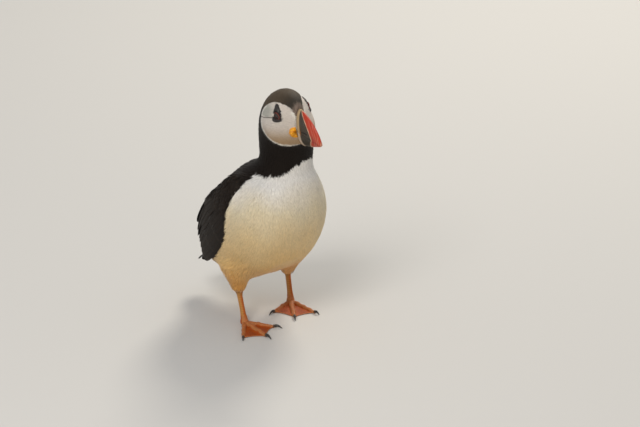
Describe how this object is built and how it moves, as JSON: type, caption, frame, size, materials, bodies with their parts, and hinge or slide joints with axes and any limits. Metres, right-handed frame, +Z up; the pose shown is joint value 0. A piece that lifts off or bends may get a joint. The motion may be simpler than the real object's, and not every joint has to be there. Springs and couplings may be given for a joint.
{
  "type": "atlantic puffin",
  "caption": "Standing seabird model in breeding plumage: black back and collar, white breast, pale face, deep triangular orange-tipped bill, webbed orange feet, head turned to its right.",
  "frame": {"origin": "centre of the footprint of the whole bird's box, on the floor it stands on", "axes": "-Y the way the body faces, +X to the bird's left, +Z up"},
  "size_m": [0.097, 0.1628, 0.2067],
  "materials": {
    "black_plumage": "satin",
    "white_plumage": "matte",
    "face_plumage": "matte",
    "bill_slate": "satin",
    "bill_red": "satin",
    "bill_cream": "matte",
    "rosette_yellow": "matte",
    "leg_orange": "satin",
    "claw_black": "satin",
    "eye_dark": "gloss"
  },
  "bodies": {
    "root": {"rump": "black_plumage", "trunk": "white_plumage", "neck": "black_plumage", "head": "face_plumage", "thigh_left": "white_plumage", "thigh_right": "white_plumage", "wing_left": "black_plumage", "wing_right": "black_plumage", "primaries_left": "black_plumage", "primaries_right": "black_plumage", "tail": "black_plumage", "bill_upper_cere": "bill_cream", "bill_upper_plate": "bill_slate", "bill_upper_tip": "bill_red", "bill_lower_plate": "bill_slate", "bill_lower_tip": "bill_red", "gape_rosette_left": "rosette_yellow", "gape_rosette_right": "rosette_yellow", "eye_left": "eye_dark", "eye_right": "eye_dark", "tarsus_left": "leg_orange", "tarsus_right": "leg_orange", "foot_left": "leg_orange", "foot_right": "leg_orange", "claw_left_inner": "claw_black", "claw_left_middle": "claw_black", "claw_left_outer": "claw_black", "claw_right_inner": "claw_black", "claw_right_middle": "claw_black", "claw_right_outer": "claw_black"}
  },
  "joints": []
}
